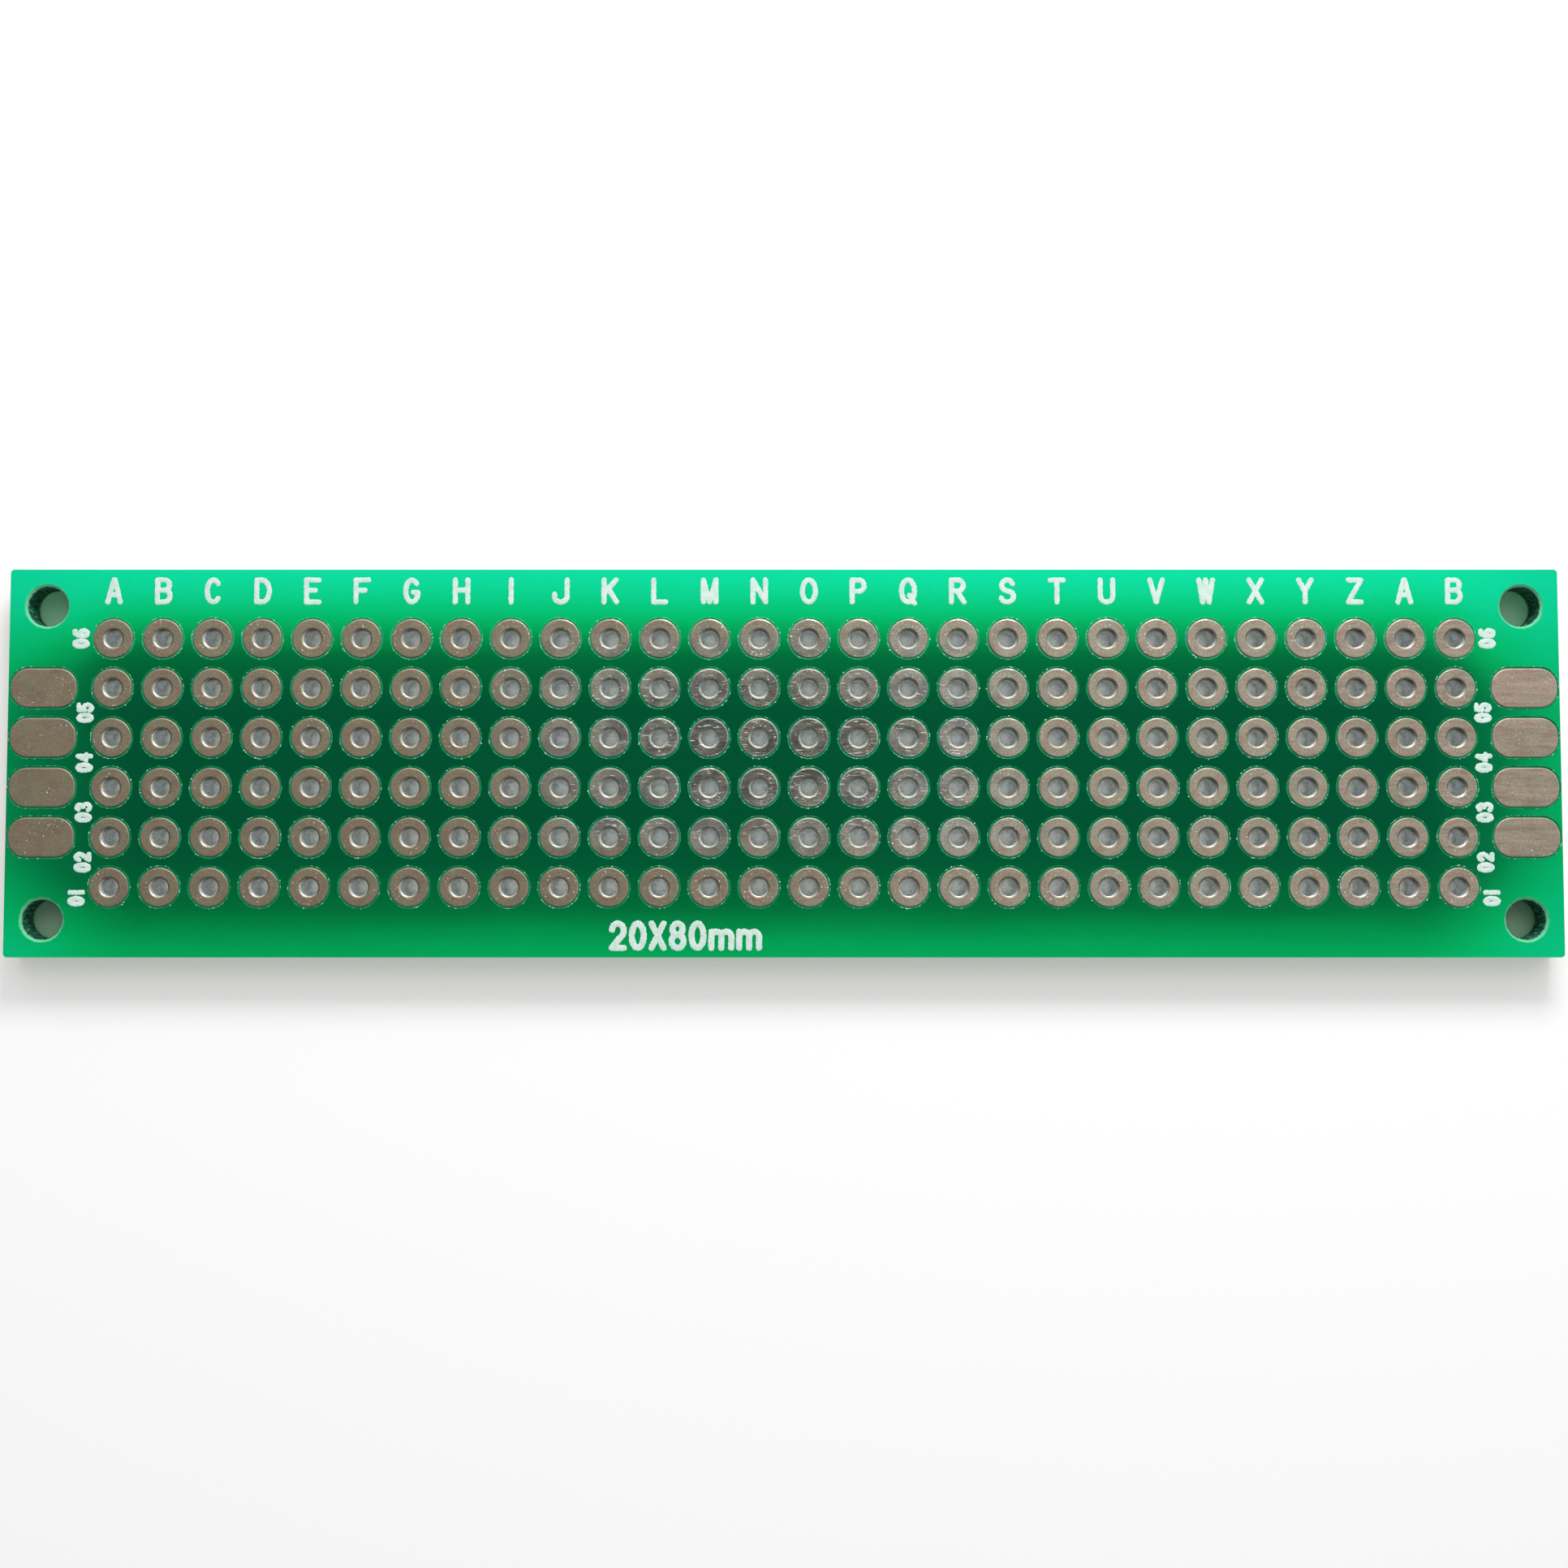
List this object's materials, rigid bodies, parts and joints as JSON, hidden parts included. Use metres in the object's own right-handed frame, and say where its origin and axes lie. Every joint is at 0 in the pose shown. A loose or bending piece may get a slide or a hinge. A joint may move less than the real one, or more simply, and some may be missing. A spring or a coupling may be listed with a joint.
{
  "type": "prototype circuit board",
  "caption": "Bare double-sided prototype board with a grid of plated holes, connector pads at both ends and corner mounting holes.",
  "frame": {"origin": "centre of the board's footprint, on the plane of the lower pads", "axes": "+X along the board's long side, +Y towards the long edge with the column letters, +Z out of the component side"},
  "size_m": [0.0792, 0.0198, 0.0016],
  "materials": {
    "laminate": "matte",
    "solder_mask": "gloss",
    "legend_ink": "matte",
    "tinned_copper": "satin"
  },
  "bodies": {
    "root": {"substrate": "laminate", "solder_mask_top": "solder_mask", "solder_mask_bottom": "solder_mask", "plated_holes_row_1": "tinned_copper", "plated_holes_row_2": "tinned_copper", "plated_holes_row_3": "tinned_copper", "plated_holes_row_4": "tinned_copper", "plated_holes_row_5": "tinned_copper", "plated_holes_row_6": "tinned_copper", "edge_pad_left_row_2_top": "tinned_copper", "edge_pad_left_row_2_bottom": "tinned_copper", "edge_pad_left_row_3_top": "tinned_copper", "edge_pad_left_row_3_bottom": "tinned_copper", "edge_pad_left_row_4_top": "tinned_copper", "edge_pad_left_row_4_bottom": "tinned_copper", "edge_pad_left_row_5_top": "tinned_copper", "edge_pad_left_row_5_bottom": "tinned_copper", "edge_pad_right_row_2_top": "tinned_copper", "edge_pad_right_row_2_bottom": "tinned_copper", "edge_pad_right_row_3_top": "tinned_copper", "edge_pad_right_row_3_bottom": "tinned_copper", "edge_pad_right_row_4_top": "tinned_copper", "edge_pad_right_row_4_bottom": "tinned_copper", "edge_pad_right_row_5_top": "tinned_copper", "edge_pad_right_row_5_bottom": "tinned_copper"}
  },
  "joints": []
}
